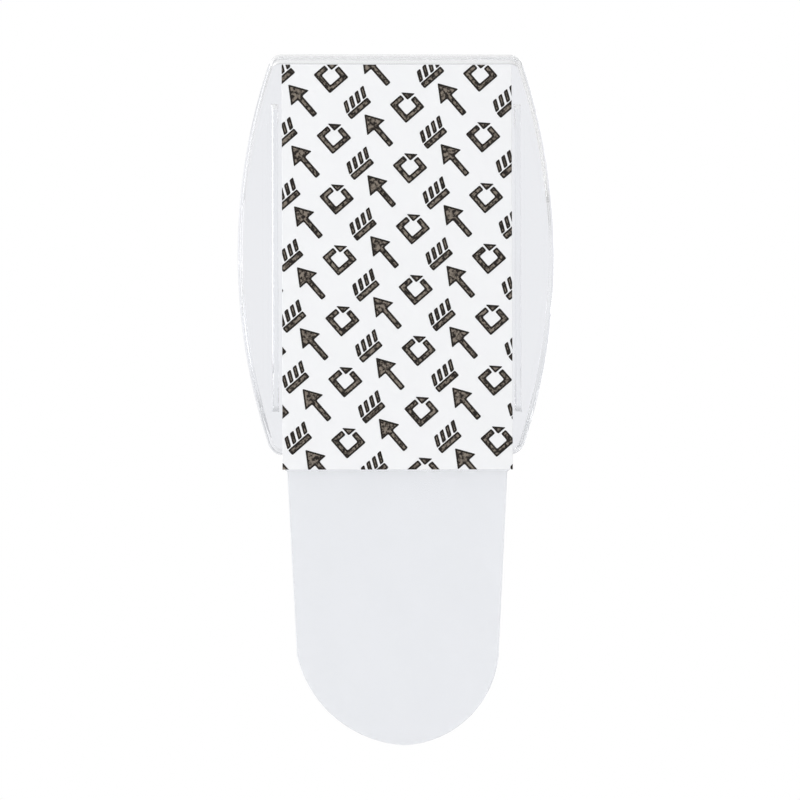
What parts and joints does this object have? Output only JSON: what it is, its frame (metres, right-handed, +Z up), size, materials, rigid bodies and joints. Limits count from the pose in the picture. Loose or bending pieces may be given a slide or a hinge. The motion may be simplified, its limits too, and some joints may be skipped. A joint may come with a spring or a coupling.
{
  "type": "adhesive wall hook",
  "caption": "Clear wall hook with a bowed base plate and a J hook, on a stretch-release adhesive strip with a pull tab and a printed peel-off liner.",
  "frame": {"origin": "centre of the liner's outer face, which goes against the wall once the liner is peeled", "axes": "+Y into the wall, +Z up along the strip, X across the hook; the J hook is on the -Y side"},
  "size_m": [0.0218, 0.015, 0.0478],
  "materials": {
    "clear_moulding": "polished, clear",
    "tacky_layer": "clear, tacky",
    "stretch_film": "clear, stretchy",
    "tab_plastic": "clear with a pale grey cast",
    "tab_film": "satin film",
    "liner_paper": "coated white, printed"
  },
  "bodies": {
    "hook": {"hook_body": "clear_moulding"},
    "strip": {"hook_side_adhesive": "tacky_layer", "stretch_core": "stretch_film", "wall_side_adhesive": "tacky_layer"},
    "tab": {"pull_tab": "tab_plastic", "tab_film_front": "tab_film", "tab_film_rear": "tab_film"},
    "liner": {"wall_side_liner": "liner_paper"}
  },
  "joints": [
    {"name": "strip_release", "type": "slide", "parent": "hook", "child": "strip", "axis": [0, 0, -1], "range_m": [0, 0.03]},
    {"name": "tab_bend", "type": "hinge", "parent": "strip", "child": "tab", "pos_m": [0, -0.00055, -0.01445], "axis": [1, 0, 0], "range_deg": [-90, 90], "stiffness_Nm_per_rad": 0.0002},
    {"name": "liner_peel", "type": "slide", "parent": "strip", "child": "liner", "axis": [0, 1, 0], "range_m": [0, 0.025]}
  ]
}
